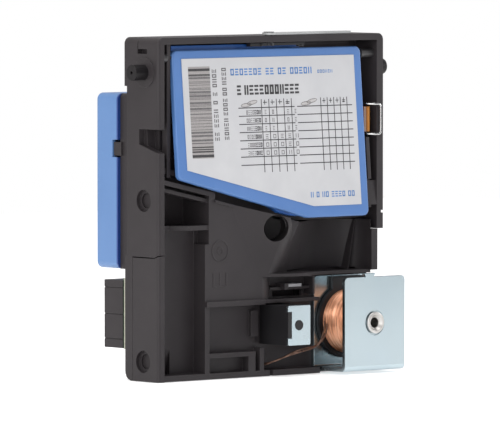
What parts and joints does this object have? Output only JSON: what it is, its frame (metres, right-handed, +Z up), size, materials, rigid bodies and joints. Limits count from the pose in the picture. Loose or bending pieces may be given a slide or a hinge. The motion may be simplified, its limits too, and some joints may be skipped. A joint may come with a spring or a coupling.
{
  "type": "coin validator",
  "caption": "Electronic coin validator with a swing-out coin deck, reject lever, solenoid accept gate, side mounting pins, rear electronics cover and header connector.",
  "frame": {"origin": "centre of the bounding box at the underside", "axes": "+X to the right seen from the front, +Y to the rear, +Z up with the coin inlet on top"},
  "size_m": [0.0992, 0.04, 0.1031],
  "materials": {
    "housing_plastic": "satin moulded, very fine grain",
    "deck_blue": "satin moulded",
    "cover_blue": "satin moulded",
    "label_film": "printed film",
    "zinc_steel": "bright zinc plated",
    "spring_steel": "drawn wire",
    "copper_wire": "enamelled winding wire",
    "black_plastic": "moulded",
    "grey_plastic": "moulded",
    "amber_film": "polyimide film",
    "board_laminate": "glass laminate with solder mask",
    "gold_plate": "gold plated",
    "ferrite": "sintered",
    "smoked_plastic": "polished",
    "can_aluminium": "drawn can"
  },
  "bodies": {
    "housing": {"main_housing": "housing_plastic", "gate_housing": "housing_plastic", "deck_pivot_pins": "black_plastic", "deck_spring_clip": "spring_steel", "sensor_ribbon": "amber_film", "runway_sensor_cores": "ferrite", "runway_photo_sensors": "smoked_plastic", "exit_light_guide": "grey_plastic", "exit_sensor_block": "black_plastic", "sensor_clip_plate": "zinc_steel", "solenoid_yoke": "zinc_steel", "solenoid_core_tube": "zinc_steel", "solenoid_bobbin": "black_plastic", "solenoid_winding": "copper_wire", "solenoid_leads": "copper_wire", "circuit_board": "board_laminate", "box_header": "black_plastic", "header_pins": "gold_plate", "board_screws": "zinc_steel", "microcontroller": "black_plastic", "capacitors": "can_aluminium", "coding_switch_body": "black_plastic", "rear_frame": "housing_plastic", "rear_cover": "cover_blue"},
    "deck": {"deck_cover": "deck_blue", "deck_carrier": "deck_blue", "deck_label": "label_film", "deck_sensor_cores": "ferrite", "deck_light_guides": "smoked_plastic"},
    "reject_lever": {"reject_lever_shaft": "black_plastic", "reject_lever_arm": "grey_plastic", "reject_lever_finger": "black_plastic", "reject_lever_stud": "black_plastic"},
    "accept_gate": {"solenoid_plunger": "zinc_steel", "accept_gate": "black_plastic"},
    "coding_dial": {"coding_dial": "grey_plastic"}
  },
  "joints": [
    {"name": "deck_hinge", "type": "hinge", "parent": "housing", "child": "deck", "pos_m": [0, -0.0064, 0.096], "axis": [-1, 0, 0], "range_deg": [0, 25], "stiffness_Nm_per_rad": 0.02, "springref_deg": -20.05},
    {"name": "reject_lever_turn", "type": "hinge", "parent": "housing", "child": "reject_lever", "pos_m": [0, -0.0076, 0.101], "axis": [0, 0, -1], "range_deg": [0, 10]},
    {"name": "accept_gate_slide", "type": "slide", "parent": "housing", "child": "accept_gate", "axis": [0, -1, 0], "range_m": [0, 0.0029], "stiffness_N_per_m": 60, "springref_m": -0.004},
    {"name": "coding_dial_turn", "type": "hinge", "parent": "housing", "child": "coding_dial", "pos_m": [-0.0225, 0.016, 0.046], "axis": [0, 1, 0], "range_deg": [0, 324]}
  ],
  "couplings": [
    {"joint": "reject_lever_turn", "follows": "deck_hinge", "ratio": 0.4}
  ]
}
